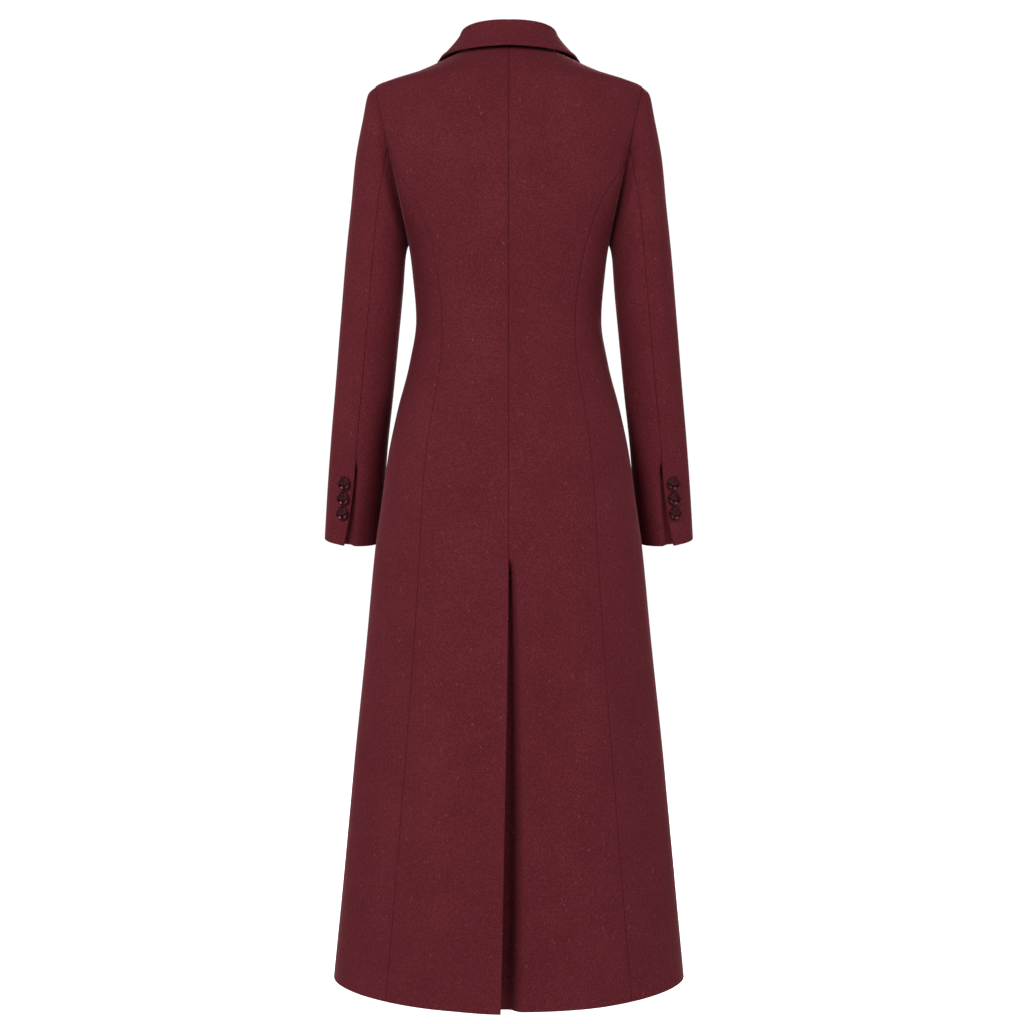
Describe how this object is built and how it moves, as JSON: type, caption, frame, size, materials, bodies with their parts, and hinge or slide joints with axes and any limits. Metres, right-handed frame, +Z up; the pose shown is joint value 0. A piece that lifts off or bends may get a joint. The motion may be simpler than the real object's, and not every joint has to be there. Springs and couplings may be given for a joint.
{
  "type": "long coat",
  "caption": "Fitted ankle-length wool coat, hollow as worn, with princess seams, a lapped back vent, notched collar and buttoned cuffs.",
  "frame": {"origin": "middle of the neck opening, level with the points where the shoulder seams meet the collar, where the wearer's shoulders hold the coat", "axes": "+Z up, the back of the coat faces +Y, the wearer's left side is +X"},
  "size_m": [0.5278, 0.4074, 1.3305],
  "materials": {
    "wool": "brushed burgundy wool with a short felted nap",
    "button": "polished dark burgundy resin"
  },
  "bodies": {
    "root": {"back_left": "wool", "back_right": "wool", "side_back_left": "wool", "side_back_right": "wool", "front_left": "wool", "front_right": "wool", "lapel_left": "wool", "lapel_right": "wool", "collar": "wool", "upper_sleeve_left": "wool", "upper_sleeve_right": "wool", "under_sleeve_left": "wool", "under_sleeve_right": "wool", "cuff_button_left_1": "button", "cuff_button_left_2": "button", "cuff_button_left_3": "button", "cuff_button_right_1": "button", "cuff_button_right_2": "button", "cuff_button_right_3": "button", "front_button_1": "button", "front_button_2": "button", "front_button_3": "button", "front_button_4": "button"}
  },
  "joints": []
}
